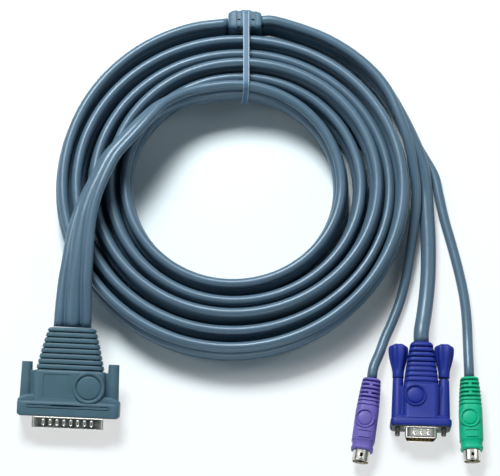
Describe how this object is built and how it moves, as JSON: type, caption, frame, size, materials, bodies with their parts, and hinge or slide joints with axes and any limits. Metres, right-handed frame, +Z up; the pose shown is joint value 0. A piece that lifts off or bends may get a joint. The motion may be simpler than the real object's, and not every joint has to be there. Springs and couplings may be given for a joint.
{
  "type": "kvm cable",
  "caption": "Bonded keyboard, video and mouse cable, wound in a flat coil and tied, from a broad D-shaped plug to a small D-shaped video plug and round plugs.",
  "frame": {"origin": "middle of the whole cable's box, on the surface that it lies on", "axes": "+Z up from the surface, +Y from the plugs towards the collar, +X from the broad plug towards the small plugs"},
  "size_m": [0.252, 0.2648, 0.0404],
  "materials": {
    "grey_hood": "moulded blue-grey vinyl, satin",
    "cable_jacket": "extruded blue-grey vinyl, soft sheen",
    "blue_hood": "moulded blue vinyl, satin",
    "purple_grip": "moulded purple vinyl, satin",
    "green_grip": "moulded green vinyl, satin",
    "nickel": "nickel-plated pressed steel",
    "steel": "plated turned steel",
    "black_resin": "moulded black resin with plated pins",
    "milky_resin": "milky inner mould",
    "clear_nylon": "translucent nylon"
  },
  "bodies": {
    "cable": {"db25_hood": "grey_hood", "db25_shell": "nickel", "db25_insert": "black_resin", "db25_inner_mould": "milky_resin", "vga_hood": "blue_hood", "vga_shell": "nickel", "vga_insert": "black_resin", "vga_inner_mould": "milky_resin", "keyboard_grip": "purple_grip", "keyboard_barrel": "nickel", "keyboard_insert": "black_resin", "keyboard_inner_mould": "milky_resin", "mouse_grip": "green_grip", "mouse_barrel": "nickel", "mouse_insert": "black_resin", "mouse_inner_mould": "milky_resin", "ribbon_lead": "cable_jacket", "cable_coil": "cable_jacket", "split_collar": "grey_hood", "keyboard_tail": "cable_jacket", "vga_tail": "cable_jacket", "mouse_tail": "cable_jacket", "cable_tie": "clear_nylon"},
    "db25_screw_left": {"db25_jackscrew_left": "steel"},
    "db25_screw_right": {"db25_jackscrew_right": "steel"},
    "vga_screw_left_assembly": {"vga_thumbscrew_left": "blue_hood", "vga_screw_left": "steel"},
    "vga_screw_right_assembly": {"vga_thumbscrew_right": "blue_hood", "vga_screw_right": "steel"}
  },
  "joints": [
    {"name": "db25_screw_left_turn", "type": "hinge", "parent": "cable", "child": "db25_screw_left", "pos_m": [-0.12186, -0.1055, 0.00754], "axis": [0.0434, 0.9553, 0.2924], "continuous": true},
    {"name": "db25_screw_right_turn", "type": "hinge", "parent": "cable", "child": "db25_screw_right", "pos_m": [-0.07487, -0.10763, 0.00754], "axis": [0.0434, 0.9553, 0.2924], "continuous": true},
    {"name": "vga_screw_left_assembly_turn", "type": "hinge", "parent": "cable", "child": "vga_screw_left_assembly", "pos_m": [0.07975, -0.11307, 0.00775], "axis": [0.0314, 0.9995, 0], "continuous": true},
    {"name": "vga_screw_right_assembly_turn", "type": "hinge", "parent": "cable", "child": "vga_screw_right_assembly", "pos_m": [0.10472, -0.11386, 0.00775], "axis": [0.0314, 0.9995, 0], "continuous": true}
  ]
}
